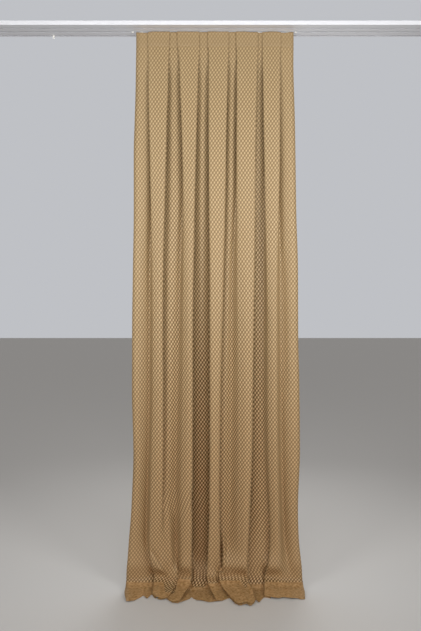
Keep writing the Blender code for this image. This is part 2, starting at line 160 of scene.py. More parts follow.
# The folds from left to right. Two of them hold each panel between them.
FOLDS = (
    Fold(
        "panel 1 left",
        x=(-319, -319, -316, -315, -312, -309, -304, -299, -297, -297, -302, -308, -311, -301, -287, -287,
           -291),
        before=(5.4, 5.4, 28, 46, 50, 48, 46, 50, 50, 40, 28, 20, 10),
        after=(0, 0, 0, 2, 4, 5, 5, 5, 3, 1, 0, 1, 1),
        lap=(34.5, 34.5, 34, 25, 9, -4, -8, -8, -6, -4, -2, 10, 0),
        radius=(2.6, 2.6, 4, 7, 9, 11, 13, 13, 12, 10, 8, 3, 2),
    ),
    Fold(
        "panel 1 right",
        x=(-214, -215, -220, -222, -227, -229, -235, -242, -243, -241, -241, -243, -246, -247, -249, -252,
           -256),
        before=FLUSH,
        after=(5.4, 5.4, 26, 40, 40, 38, 32, 24, 18, 10, 4, 0, 0),
        lap=(34.5, 34.5, 32, 30, 28, 26, 20, 0, -15, -20, -20, -20, -20),
        radius=(2.6, 2.6, 4, 6, 7, 8, 8, 10, 14, 20, 20, 20, 20),
    ),
    Fold(
        "panel 2 left",
        x=(-179, -178, -171, -164, -158, -154, -151, -152, -154, -157, -161, -165, -166, -170, -168, -190,
           -214),
        before=(5.4, 5.4, 28, 46, 48, 49, 48, 50, 48, 36, 8, 0, 0),
        after=(0, 0, 0, 2, 6, 9, 11, 10, 8, 8, 18, 20, 10),
        lap=(34.5, 34.5, 34, 20, 4, -6, -12, -14, -14, -16, -14, 5, 0),
        radius=(2.6, 2.6, 4, 7, 9, 12, 14, 14, 13, 12, 8, 3, 2),
    ),
    Fold(
        "panel 2 right",
        x=(-72, -72, -76, -80, -84, -87, -92, -98, -101, -101, -102, -103, -105, -106, -103, -130, -158),
        before=(0, 0, 0, 0, 0, 0, 0, 0, 0, 0, 2, 2, 2),
        after=(5.4, 5.4, 26, 42, 50, 60, 76, 82, 80, 72, 44, 23, 11),
        lap=(34.5, 34.5, 32, 28, 22, 18, 10, 6, 6, 4, 2, 2, 0),
        radius=(2.6, 2.6, 4, 6, 7, 8, 8, 8, 8, 8, 6, 3, 2),
    ),
    Fold(
        "panel 3 left",
        x=(-33, -33, -29, -29, -29, -28, -27, -24, -24, -24, -24, -27, -30, -34, -39, -17, 6),
        before=(5.4, 5.4, 26, 42, 50, 61, 77, 82, 80, 72, 44, 23, 11),
        after=(0, 0, 0, 0, 0, 0, 0, 0, 0, 0, 0, 2, 2),
        lap=(34.5, 34.5, 32, 26, 20, 12, 6, 6, 2, 0, 0, 0, 0),
        radius=(2.6, 2.6, 4, 6, 7, 8, 9, 9, 9, 9, 8, 3, 2),
    ),
    Fold(
        "panel 3 right",
        x=(69, 69, 65, 62, 58, 56, 52, 45, 38, 31, 27, 25, 27, 28, 18, 46, 70),
        before=(0, 0, 0, 0, 0, 0, 0, 0, 0, 4, 18, 21, 11),
        after=(5.4, 5.4, 24, 34, 34, 35, 35, 35, 36, 40, 2, 0, 0),
        lap=(34.5, 34.5, 30, 16, 8, 2, 0, 0, 2, 5, -5, 2, 0),
        radius=(2.6, 2.6, 4, 8, 11, 13, 14, 13, 10, 6, 4, 3, 2),
    ),
    Fold(
        "panel 4 left",
        x=(102, 103, 106, 106, 105, 104, 104, 104, 106, 107, 107, 105, 103, 102, 96, 103, 112),
        before=(5.4, 5.4, 25, 38, 42, 46, 50, 52, 50, 30, 8, 0, 0),
        after=(0, 0, 0, 2, 6, 10, 13, 13, 10, 5, 0, 0, 0),
        lap=(34.5, 34.5, 32, 18, 4, -8, -14, -18, -20, -28, -34, -30, -30),
        radius=(2.6, 2.6, 4, 7, 10, 13, 16, 18, 20, 24, 28, 20, 20),
    ),
    Fold(
        "panel 4 right",
        x=(209, 209, 205, 201, 198, 196, 194, 191, 187, 183, 179, 170, 163, 159, 160, 173, 185),
        before=FLUSH,
        after=(5.4, 5.4, 20, 32, 42, 56, 70, 70, 60, 44, 27, 21, 11),
        lap=(34.5, 34.5, 24, 16, 16, 14, 12, 8, 4, 0, 0, 2, 0),
        radius=(2.6, 2.6, 4, 6, 7, 8, 9, 11, 12, 12, 8, 3, 2),
    ),
    Fold(
        "panel 5 left",
        x=(229, 229, 230, 232, 233, 236, 240, 245, 249, 249, 251, 258, 261, 253, 237, 229, 226),
        before=(5.4, 5.4, 26, 42, 46, 48, 50, 48, 44, 38, 27, 21, 11),
        after=(0, 0, 0, 2, 4, 6, 8, 8, 6, 4, 2, 2, 2),
        lap=(34.5, 34.5, 32, 20, 4, -6, -12, -14, -14, -14, -10, 4, 0),
        radius=(2.6, 2.6, 4, 7, 9, 12, 15, 16, 15, 12, 9, 3, 2),
    ),
    Fold(
        "panel 5 right",
        x=(319, 319, 314, 313, 312, 312, 307, 302, 301, 301, 303, 310, 315, 319, 327, 325, 322),
        before=(0, 0, 0, 0, 0, 0, 0, 0, 0, 0, 0, 2, 2),
        after=(5.4, 5.4, 26, 42, 44, 43, 43, 45, 43, 30, 12, 4, 4),
        lap=(34.5, 34.5, 34, 18, 4, -6, -8, -8, -8, -12, -16, -20, -20),
        radius=(2.6, 2.6, 4, 7, 9, 12, 14, 15, 16, 18, 20, 20, 20),
    ),
)
LINES = Table(LINE_STATIONS, tuple(zip(LEFT_SIDE, *(fold.x for fold in FOLDS), RIGHT_SIDE)))
BEFORE, AFTER, LAP, RADIUS = (
    Table(SHAPE_STATIONS, tuple(zip(*(getattr(fold, column) for fold in FOLDS))))
    for column in ("before", "after", "lap", "radius")
)
SIDES_BEHIND = Table(SHAPE_STATIONS, tuple(zip(SIDE_DEPTH, SIDE_DEPTH)))

# How far the front of the pleats stands in front of the track's middle, in millimetres.
FRONT = Table(
    (0.0235, 0.098, 0.166, 0.31, 0.455, 0.598, 0.885, 1.169, 1.453, 1.735, 2.017, 2.299, 2.79),
    (1.2, 1.2, 6, 12.5, 17, 20, 27, 33, 38, 42, 45, 47, 47),
)

# How a row's spare cloth, what its visible folds leave of the flat width, is shared among the folds' laps.
SPARE = Table(
    (0.0235, 0.098, 1.2, 1.8, 2.2, 2.44, 2.62, 2.79),
    (
        (0, 1.0, 0, 0.9, 0.0, 0.7, 0, 1.1, 0, 0),
        (0, 1.0, 0, 0.9, 0.0, 0.7, 0, 1.1, 0, 0),
        (0, 0.7, 0, 0.9, 0.1, 0.7, 0, 1.1, 0.1, 0),
        (0, 0.5, 0, 1.0, 0.2, 0.7, 0, 1.1, 0.1, 0),
        (0, 0.3, 0, 1.0, 0.3, 0.7, 0, 0.9, 0.2, 0),
        (0, 0.0, 0, 0.9, 0.5, 0.6, 0, 0.75, 0.4, 0),
        (0.2, 0, 0.5, 0.9, 0.8, 0.9, 0, 0.8, 0.5, 0),
        (0.4, 0, 0.8, 1.0, 1.0, 1.0, 0, 1.0, 0.5, 0),
    ),
)

# How far each panel, and each recess between two panels, bulges in its middle, in millimetres.
CROWN = Table(
    (0.0235, 0.098, 0.25, 0.598, 0.885, 1.169, 1.735, 2.299, 2.44, 2.62, 2.79),
    (
        (0, 0, 0, 0, 0, 0, 0, 0, 0, 0, 0),
        (0, 0, 0, 0, 0, 0, 0, 0, 0, 0, 0),
        (4, 1, 9, 1, 8, 1, 8, 1, 5, 1, 4),
        (7, 2, 18, 2, 17, 2, 15, 2, 8, 2, 7),
        (7, 3, 18, 3, 17, 3, 14, 3, 5, 3, 7),
        (7, 3, 18, 3, 16, 3, 13, 3, 2, 3, 7),
        (7, 3, 16, 3, 13, 3, 12, 3, 1, 3, 7),
        (7, 3, 14, 3, 16, 3, 10, 3, 2, 3, 7),
        (5, 3, 12, 3, 16, 3, 9, 3, 3, 3, 5),
        (2, 1, 0, 1, 4, 1, 0, 1, 2, 1, 2),
        (0, 0, 0, 0, 0, 0, 0, 0, 0, 0, 0),
    ),
)

# How far the cloth's own stiffness rounds off its section, in millimetres.
SOFTNESS = Table(
    (0.0235, 0.098, 0.35, 0.9, 1.7, 2.44, 2.62, 2.79),
    (0, 0, 1.5, 3.5, 5, 5, 3, 2),
)

# How much closer than in the heading the weave's pattern repeats down the cloth.
PICK_GROWTH = Table(
    (0.0235, 0.6, 1.4, 1.8, 2.12, 2.41, 2.79),
    (1.0, 1.0, 1.02, 1.07, 1.13, 1.17, 1.17),
)

# How strongly the satin grains stand out from their ground, down the cloth: 1 is the finish's full contrast.
# It stands in for a real room's light, which picks the grains out more in some places than in others.
LIFT = Table(
    (0.0235, 0.098, 0.25, 0.45, 0.75, 1.1, 1.45, 1.75, 2.05, 2.35, 2.5, 2.6, 2.64, 2.79),
    (0.52, 0.52, 0.56, 0.6, 0.59, 0.6, 0.65, 0.69, 0.69, 0.64, 0.56, 0.62, 1.0, 1.0),
)

# The heading's top edge sinks a little between some hooks: x and how far, in millimetres, fading out below.
SCALLOP_FOOT = 0.045
SCALLOPS = (
    (-380, 0), (-366, 1.0), (-352, 3.2), (-318, 3.2), (-299, 0), (150, 0), (172, 2.6), (240, 2.8), (258, 0),
    (298, 0), (312, 3.0), (346, 3.0), (361, 0), (380, 0.6),
)

# Ridges and troughs: the lips and hollows at the foot, the puckers at the sides and the rolls in the border.
CREASES = (
    Crease("lip above the tuck, left", ((-309, 2.499), (-275, 2.545), (-234, 2.589)), 13, 10, 6),
    Crease("hollow above the lip, left", ((-292, 2.5), (-262, 2.535), (-236, 2.568)), -12, 5, 7),
    Crease("valley beside panel 2", ((-176, 2.36), (-173, 2.46), (-170, 2.56), (-166, 2.625)), -12, 9, 8),
    Crease("edge of the left tongue", ((-182, 2.49), (-180, 2.56), (-178, 2.63), (-190, 2.68)), 9, 4, 6),
    Crease("slit beside panel 4", ((30, 2.487), (31, 2.52), (30, 2.565)), -20, 4, 4),
    Crease("ridge beside the slit", ((42, 2.42), (47, 2.5), (52, 2.6)), 13, 9, 6),
    Crease("pinch", ((16, 2.59), (19, 2.655)), -11, 4, 4),
    Crease("foot of panel 3", ((-10, 2.54), (-7, 2.6), (0, 2.68)), 9, 13, 13),
    Crease("ridge along the flap of panel 4", ((92, 2.65), (116, 2.7), (138, 2.775)), 7, 9, 14),
    Crease("roll in the right border", ((268, 2.66), (274, 2.78)), 5, 10, 10),
    Crease("second roll in the right border", ((352, 2.66), (350, 2.78)), 5, 12, 9),
    Crease("roll in the left border", ((-392, 2.66), (-386, 2.78)), 5, 12, 9),
    Crease("roll beside the left notch", ((-352, 2.655), (-350, 2.77)), 5, 9, 8),
    Crease("roll in the second flap", ((-262, 2.665), (-254, 2.775)), 6, 9, 12),
    Crease("roll in the middle border", ((-66, 2.69), (-60, 2.78)), 5, 12, 9),
    Crease("flap between the notches", ((-312, 2.66), (-312, 2.785)), 7, 8, 8),
    Crease("pucker at the left side", ((-336, 1.57), (-350, 1.67), (-376, 1.79)), 6, 6, 5),
    Crease("furrow below the pucker", ((-342, 1.63), (-358, 1.73), (-382, 1.84)), -6, 5, 5),
    Crease("second pucker at the left side", ((-350, 1.7), (-365, 1.79), (-384, 1.88)), 5, 6, 5),
    Crease("short furrow in the left side", ((-372, 1.46), (-379, 1.53), (-388, 1.6)), -5, 5, 5),
    Crease("furrow low in the left side", ((-380, 2.02), (-383, 2.09), (-388, 2.16)), -6, 6, 5),
    Crease("furrow in the left strip", ((-333, 1.25), (-338, 1.7), (-352, 2.05)), -5, 6, 6),
    Crease("furrow in the right strip", ((334, 1.1), (336, 1.45), (339, 1.75)), -6, 6, 6),
    Crease("roll at the border's right end", ((300, 2.64), (345, 2.655), (395, 2.665)), 4, 6, 4),
    Crease("ridge down panel 4", ((150, 2.56), (157, 2.65), (172, 2.715)), 9, 4, 5),
)

# How strongly the foot tucks in above the floor: x in millimetres, and the share of the curtain's tuck.
TUCK_LINE = (
    (-410, 0.3), (-330, 0.3), (-292, 1.0), (-240, 1.0), (-215, 0.0), (-180, -0.2), (-160, 0.7), (-112, 0.6),
    (-95, 0.0), (-45, 0.0), (-30, -0.4), (12, -0.4), (30, 0.9), (140, 1.1), (160, 0.2), (225, 0.3),
    (240, 1.1), (290, 1.0), (320, 0.4), (410, 0.3),
)

# Where the plain border begins: x in millimetres, and the station.
BORDER_LINE = (
    (-420, 2.645), (-238, 2.65), (-226, 2.735), (-186, 2.735), (-174, 2.632), (-118, 2.632), (-104, 2.672),
    (-48, 2.672), (-38, 2.655), (14, 2.655), (24, 2.64), (118, 2.64), (146, 2.69), (156, 2.655), (230, 2.655),
    (242, 2.648), (420, 2.648),
)

# How far forward of the track the hem lies: x and reach, in millimetres.
HEM_LINE = (
    (-398, 170), (-387, 170), (-351, 152), (-338, 115), (-330, 106), (-307, 143), (-291, 96), (-272, 134),
    (-247, 152), (-234, 152), (-216, 143), (-191, 179), (-164, 183), (-138, 161), (-112, 138), (-106, 120),
    (-99, 134), (-80, 156), (-53, 161), (-26, 174), (6, 165), (33, 161), (61, 134), (70, 134), (90, 188),
    (112, 205), (139, 192), (160, 210), (180, 179), (185, 147), (198, 179), (215, 143), (227, 124),
    (246, 129), (269, 146), (287, 149), (314, 136), (332, 141), (350, 149), (373, 138), (391, 148),
    (410, 143),
)


def srgb(code: str) -> Colour:
    """Turns an sRGB colour to linear.

    Args:
        code: the colour as a hash sign and six hex digits.

    Returns:
        Red, green, blue and alpha.
    """
    parts = [int(code[k : k + 2], 16) / 255 for k in (1, 3, 5)]
    linear = [c / 12.92 if c <= 0.04045 else ((c + 0.055) / 1.055) ** 2.4 for c in parts]
    return (*linear, 1.0)


def solve(measure: Callable[[Array], Array], wanted: float, low: Array, high: Array) -> Array:
    """Halves its way to the values at which a measure is what is wanted.

    Args:
        measure: what to measure. It rises with the values.
        wanted: what it should come to.
        low: values for which it comes to less.
        high: values for which it comes to more.

    Returns:
        The values found.
    """
    for _ in range(HALVINGS):
        middle = (low + high) / 2
        short = measure(middle) < wanted
        low, high = np.where(short, middle, low), np.where(short, high, middle)
    return (low + high) / 2


def table_line(line: tuple[tuple[float, float], ...], x: Array) -> Array:
    """Reads a table of (millimetres across, value) at x, straight between its entries."""
    places, values = np.array(line).T
    return np.interp(x, places / MM, values)


def resample(x: Array, y: Array, shares: Array) -> tuple[Array, Array]:
    """Reads each row at the same shares of its own length, so that a column follows one warp thread.

    Args:
        x: rows of points across the cloth.
        y: the same points from front to back.
        shares: where to read each row, from 0 at its left end to 1 at its right.

    Returns:
        x and y at the shares.
    """
    steps = np.hypot(np.diff(x, axis=1), np.diff(y, axis=1))
    along = np.hstack([np.zeros((len(x), 1)), np.cumsum(steps, axis=1)])
    along /= along[:, -1:]
    new_x = np.array([np.interp(shares, a, row) for a, row in zip(along, x)])
    new_y = np.array([np.interp(shares, a, row) for a, row in zip(along, y)])
    return new_x, new_y


def soften(rows: Array, reach: Array) -> Array:
    """Rounds each row off with a Gaussian window, as a stiff cloth rounds its folds. Its ends stay in place.

    Args:
        rows: evenly spaced samples, a row at a time.
        reach: the window's standard deviation for each row, in samples.

    Returns:
        The rounded rows.
    """
    span = int(np.ceil(reach.max() * WINDOW_REACH))
    offsets = np.arange(-span, span + 1)
    weights = np.exp(-0.5 * (offsets / np.maximum(reach, LEAST_REACH)[:, None]) ** 2)
    weights /= weights.sum(axis=1, keepdims=True)
    padded = np.pad(rows, ((0, 0), (span, span)), mode="reflect", reflect_type="odd")
    return sum(weights[:, k : k + 1] * padded[:, k : k + rows.shape[1]] for k in range(len(offsets)))


def show(name: str, mesh: bpy.types.Mesh) -> bpy.types.Object:
    """Puts a mesh in the scene as an object at the origin.

    Args:
        name: the object's name.
        mesh: its mesh, with its place in its points.

    Returns:
        The object.
    """
    thing = bpy.data.objects.new(name, mesh)
    bpy.context.scene.collection.objects.link(thing)
    return thing


def grid_object(name: str, positions: Array, u: Array, v: Array, thickness: float) -> bpy.types.Object:
    """Makes a thin sheet from a grid of points, its faces turned to -Y where the grid faces the room.

    Args:
        name: the piece's name.
        positions: rows of points in the middle of the sheet, down the grid and then across it.
        u: how far across the flat cloth each point is, in metres, for the UV map of its threads.
        v: how far down the flat cloth each point is, in metres.
        thickness: how thick the sheet is, by a live modifier.

    Returns:
        The new object.
    """
    down, across, _ = positions.shape
    index = np.arange(down * across).reshape(down, across)
    corners = (index[:-1, :-1], index[1:, :-1], index[1:, 1:], index[:-1, 1:])
    quads = np.stack(corners, axis=-1).reshape(-1, 4)
    mesh = bpy.data.meshes.new(name)
    mesh.vertices.add(down * across)
    mesh.vertices.foreach_set("co", positions.astype(np.float32).ravel())
    mesh.loops.add(quads.size)
    mesh.loops.foreach_set("vertex_index", quads.ravel().astype(np.int32))
    mesh.polygons.add(len(quads))
    mesh.polygons.foreach_set("loop_start", np.arange(0, quads.size, 4, dtype=np.int32))
    mesh.update(calc_edges=True)
    flat = np.stack([u.ravel(), v.ravel()], axis=-1)[quads.ravel()]
    mesh.uv_layers.new(name="threads").data.foreach_set("uv", flat.astype(np.float32).ravel())
    mesh.shade_smooth()
    sheet = show(name, mesh)
    wall = sheet.modifiers.new("thickness", "SOLIDIFY")
    wall.thickness = thickness
    wall.offset = 0.0
    return sheet


@dataclass
class Section:
    """Level sections through the pleats, one per row: flats joined by an arc, a straight wall and an arc.

    sides and outer are the x and the distance behind the front of the cloth's two ends. The rest have a
    column for each fold, as the tables give them, but crown, which has one for each flat. A crown is spread
    over at least the narrowest width.
    """

    sides: Array
    outer: Array
    edges: Array
    before: Array
    after: Array
    laps: Array
    radius: Array
    crown: Array
    narrowest: float = 0.004

    def arcs(self) -> tuple[Array, ...]:
        """Works out the two arcs at each pleat edge.

        The wall is the common inner tangent of two equal circles, a lap apart across and the fold's depth
        apart from front to back. An edge rises where the cloth on its left stands further behind than the
        cloth on its right.

        Returns:
            Centre x of the first and second arc, radius, angle each turns, length of the wall, and what
            rises.
        """
        rising = self.before > self.after
        depth = np.abs(self.before - self.after)
        radii = np.minimum(self.radius, depth / 2 + np.maximum(-self.laps, 0))
        across = 2 * radii - self.laps
        down = depth - 2 * radii
        apart = np.hypot(across, down)
        angle = np.arctan2(down, across) + np.arcsin(np.clip(2 * radii / np.maximum(apart, TINY), -1, 1))
        wall = np.sqrt(np.maximum(apart**2 - 4 * radii**2, 0))
        first = np.where(rising, self.edges + self.laps - radii, self.edges - radii)
        second = np.where(rising, self.edges + radii, self.edges - self.laps + radii)
        return first, second, radii, angle, wall, rising

    def flats(self) -> tuple[Array, Array]:
        """Where each flat starts and ends."""
        first, second, *_ = self.arcs()
        return np.hstack([self.sides[:, :1], second]), np.hstack([first, self.sides[:, 1:]])

    def length(self) -> Array:
        """Adds up the flats, and at each fold two arcs and a wall.

        Returns:
            The length of cloth in each row.
        """
        _, _, radii, angle, wall, _ = self.arcs()
        starts, ends = self.flats()
        return np.sum(ends - starts, axis=1) + np.sum(2 * radii * angle + wall, axis=1)

    def bulge(self, x_flat: Array) -> Array:
        """Works out how far each flat stands proud: its crown times 1 - away^2, over what shows of it.

        Args:
            x_flat: the flats' points, with away from -1 to 1 across what shows of each.

        Returns:
            How far each point stands proud.
        """
        starts, ends = self.flats()
        left = np.maximum(starts, np.hstack([self.sides[:, :1], self.edges]))
        right = np.minimum(ends, np.hstack([self.edges, self.sides[:, 1:]]))
        middle, half = (left + right) / 2, np.maximum(right - left, self.narrowest) / 2
        away = np.clip((x_flat - middle[..., None]) / half[..., None], -1, 1)
        return self.crown[..., None] * (1 - away**2)

    def turns(self, steps: int) -> tuple[Array, Array]:
        """Finds the points of every fold: its first arc, its wall and its second arc.

        Args:
            steps: how many pieces each of the three is cut into.

        Returns:
            x and the distance behind the front, by row, fold and point.
        """
        first, second, radii, angle, _, rising = self.arcs()
        turn = angle[..., None] * np.linspace(0, 1, steps + 1)
        back = turn[..., ::-1]
        grow = radii[..., None]
        toward = np.where(rising, -1, 1)[..., None]
        x_first = first[..., None] + grow * np.sin(turn)
        x_second = second[..., None] - grow * np.sin(back)
        y_first = self.before[..., None] + toward * grow * (1 - np.cos(turn))
        y_second = self.after[..., None] - toward * grow * (1 - np.cos(back))
        share = np.linspace(0, 1, steps + 1)[1:-1]
        x_wall = x_first[..., -1:] + (x_second[..., :1] - x_first[..., -1:]) * share
        y_wall = y_first[..., -1:] + (y_second[..., :1] - y_first[..., -1:]) * share
        x = np.concatenate([x_first, x_wall, x_second], axis=-1)
        return x, np.concatenate([y_first, y_wall, y_second], axis=-1)

    def levels(self, steps: int) -> tuple[Array, Array]:
        """Finds the points of every flat, bulged, and eased from its left end's depth to its right end's.

        The left strip leaves its depth slowly, and the right strip and the panels quickly. A recess is level
        at both its ends.

        Args:
            steps: how many pieces each flat is cut into.

        Returns:
            x and the distance behind the front, by row, flat and point.
        """
        share = np.linspace(0, 1, steps + 1)[1:-1]
        starts, ends = self.flats()
        x_flat = starts[..., None] + (ends - starts)[..., None] * share
        left = np.hstack([self.outer[:, :1], self.after])[..., None]
        right = np.hstack([self.before, self.outer[:, 1:]])[..., None]
        slow, quick, even = share**2, 1 - (1 - share) ** 2, share**2 * (3 - 2 * share)
        eased = np.array([slow, *[quick, even] * (len(FOLDS) // 2 - 1), quick, quick])
        return x_flat, left + (right - left) * eased - self.bulge(x_flat)

    def points(self, steps: int) -> tuple[Array, Array]:
        """Strings the flats and the folds together from side to side.

        Args:
            steps: how many pieces each arc, wall and flat is cut into.

        Returns:
            x and the distance behind the front, with a row each.
        """
        strung = []
        for flat, turn, ends in zip(self.levels(steps), self.turns(steps), (self.sides, self.outer)):
            pieces = [ends[:, :1], flat[:, 0]]
            for k in range(turn.shape[1]):
                pieces += [turn[:, k], flat[:, k + 1]]
            strung.append(np.hstack([*pieces, ends[:, 1:]]))
        return strung[0], strung[1]


class Slot(Enum):
    """The record's material slots."""

    JACQUARD = "jacquard"
    TAPE = "tape"
    TRACK = "track"
    PLASTIC = "plastic"
    STEEL = "steel"


def add_node(tree: bpy.types.NodeTree, kind: str, settings: dict | None = None,
             inputs: dict | None = None) -> bpy.types.Node:
    """Adds one node, sets what is fixed on it and fills or links its sockets.

    Args:
        tree: the node tree that the node goes in.
        kind: Blender's name for the kind of node.
        settings: attribute name to value.
        inputs: socket name or number to a value, or to the output socket that feeds it.

    Returns:
        The new node.
    """
    node = tree.nodes.new(kind)
    for name, value in (settings or {}).items():
        setattr(node, name, value)
    for name, value in (inputs or {}).items():
        if isinstance(value, bpy.types.NodeSocket):
            tree.links.new(value, node.inputs[name])
        else:
            node.inputs[name].default_value = value
    return node


def blank_material(name: str) -> tuple[bpy.types.Material, bpy.types.NodeTree, bpy.types.Node]:
    """Starts a material with a Principled surface, already joined to its output.

    Args:
        name: the material's name.

    Returns:
        The material, its node tree and its surface.
    """
    material = bpy.data.materials.new(name)
    material.use_nodes = True
    tree = material.node_tree
    tree.nodes.clear()
    surface = add_node(tree, "ShaderNodeBsdfPrincipled")
    add_node(tree, "ShaderNodeOutputMaterial", inputs={"Surface": surface.outputs[0]})
    return material, tree, surface


def feed(surface: bpy.types.Node, wires: dict | None = None, fixed: dict | None = None) -> None:
    """Links sockets of a surface, and sets others to constants.

    Args:
        surface: the Principled surface.
        wires: socket name to the output socket that feeds it.
        fixed: socket name to its value.
    """
    for name, output in (wires or {}).items():
        surface.id_data.links.new(output, surface.inputs[name])
    for name, value in (fixed or {}).items():
        surface.inputs[name].default_value = value


@dataclass(frozen=True)
class Jacquard:
    """Polyester satin jacquard, woven in gold with small satin grains that float over a duller ground.

    The grains are long warp floats that lie close and catch the light, and the ground is a tight weft weave
    that stays matt, so the cloth sparkles in rows from far away. In the heading the sewn layers flatten the
    grains, and the border below them is woven plain, in slubbed yarns that leave it faintly clouded.
    """

    name: str = "polyester satin jacquard"
    grain: str = "#C0A77E"
    ground: str = "#5A411C"
    plain: str = "#B4956A"
    shade: str = "#84663A"
    sheen: str = "#D2B07A"
    relief: float = 0.0004
    # From grain to grain across and down the cloth, and how much one diagonal outweighs the other.
    across: float = 0.0157
    down: float = 0.0235
    lean: float = 0.045
    # Where on the lattice's waves, from -1 to 1, a grain begins and is full.
    grain_edge: tuple[float, float] = (-0.35, 0.75)
    # The middle tone in the heading and below it, the heading's share of the contrast, and between which
    # distances down the cloth each of the two changes.
    tones: tuple[float, float] = (0.52, 0.62)
    heading_contrast: float = 0.5
    tone_change: tuple[float, float] = (0.066, 0.078)
    contrast_change: tuple[float, float] = (0.070, 0.078)
    # Slubs are some 12 mm long, and only the middle of the noise that draws them is used.
    slub: float = 0.0125
    slub_span: tuple[float, float] = (0.34, 0.66)
    roughness: tuple[float, float] = (0.75, 0.42)

    def make(self) -> bpy.types.Material:
        """Builds the material. The grains are two crossed cosine waves on the threads' own UV map.

        Returns:
            The material.
        """
        material, tree, surface = blank_material(self.name)
        uv = add_node(tree, "ShaderNodeUVMap", {"uv_map": "threads"})
        place = add_node(tree, "ShaderNodeSeparateXYZ", inputs={0: uv.outputs[0]})
        turns = [add_node(tree, "ShaderNodeMath", {"operation": "MULTIPLY"},
                          {0: place.outputs[axis], 1: 2 * math.pi / pitch})
                 for axis, pitch in ((0, self.across), (1, self.down))]
        lattice = None
        for operation, weight in (("ADD", 0.5 + self.lean), ("SUBTRACT", 0.5 - self.lean)):
            turn = add_node(tree, "ShaderNodeMath", {"operation": operation},
                            {0: turns[0].outputs[0], 1: turns[1].outputs[0]})
            wave = add_node(tree, "ShaderNodeMath", {"operation": "COSINE"}, {0: turn.outputs[0]})
            lattice = add_node(tree, "ShaderNodeMath", {"operation": "MULTIPLY_ADD"},
                               {0: wave.outputs[0], 1: weight, 2: lattice.outputs[0] if lattice else 0.0})
        grain = add_node(tree, "ShaderNodeMapRange", {"interpolation_type": "SMOOTHSTEP"}, {
            "Value": lattice.outputs[0], "From Min": self.grain_edge[0], "From Max": self.grain_edge[1]})
        sewn, middle = (
            add_node(tree, "ShaderNodeMapRange", inputs={
                "Value": place.outputs[1], "From Min": change[0], "From Max": change[1], "To Min": top,
                "To Max": below})
            for change, top, below in ((self.contrast_change, self.heading_contrast, 1.0),
                                       (self.tone_change, *self.tones)))
        # Painted light and shade: this attribute raises the grains' contrast lower down and in the hollows,
        # painting the grains lighter and the ground darker there.
        painted_light_contrast = add_node(tree, "ShaderNodeAttribute", {"attribute_name": "painted_light_contrast"})
        shown = add_node(tree, "ShaderNodeMath", {"operation": "MULTIPLY"},
                         {0: sewn.outputs[0], 1: painted_light_contrast.outputs["Fac"]})
        level = add_node(tree, "ShaderNodeMath", {"operation": "SUBTRACT"},
                         {0: grain.outputs[0], 1: self.tones[1]})
        kept = add_node(tree, "ShaderNodeMath", {"operation": "MULTIPLY_ADD", "use_clamp": True},
                        {0: level.outputs[0], 1: shown.outputs[0], 2: middle.outputs[0]})
        figured = add_node(tree, "ShaderNodeMix", {"data_type": "RGBA"},
                           {"Factor": kept.outputs[0], "A": srgb(self.ground), "B": srgb(self.grain)})
        slub = add_node(tree, "ShaderNodeTexNoise", inputs={
            "Vector": uv.outputs[0], "Scale": 1 / self.slub, "Detail": 3.0, "Roughness": 0.6})
        uneven = add_node(tree, "ShaderNodeMapRange", inputs={
            "Value": slub.outputs["Fac"], "From Min": self.slub_span[0], "From Max": self.slub_span[1]})
        woven = add_node(tree, "ShaderNodeMix", {"data_type": "RGBA"}, {
            "Factor": uneven.outputs[0], "A": srgb(self.shade), "B": srgb(self.plain)})
        border = add_node(tree, "ShaderNodeAttribute", {"attribute_name": "border"})
        colour = add_node(tree, "ShaderNodeMix", {"data_type": "RGBA"}, {
            "Factor": border.outputs["Fac"], "A": figured.outputs["Result"], "B": woven.outputs["Result"]})
        rough = add_node(tree, "ShaderNodeMapRange", inputs={
            "Value": kept.outputs[0], "To Min": self.roughness[0], "To Max": self.roughness[1]})
        bump = add_node(tree, "ShaderNodeBump",
                        inputs={"Height": kept.outputs[0], "Distance": self.relief, "Strength": 1.0})
        feed(surface, {"Base Color": colour.outputs["Result"], "Roughness": rough.outputs[0],
                       "Normal": bump.outputs[0]},
             {"Specular IOR Level": 0.35, "Sheen Tint": srgb(self.sheen), "Sheen Weight": 0.15,
              "Sheen Roughness": 0.4})
        return material


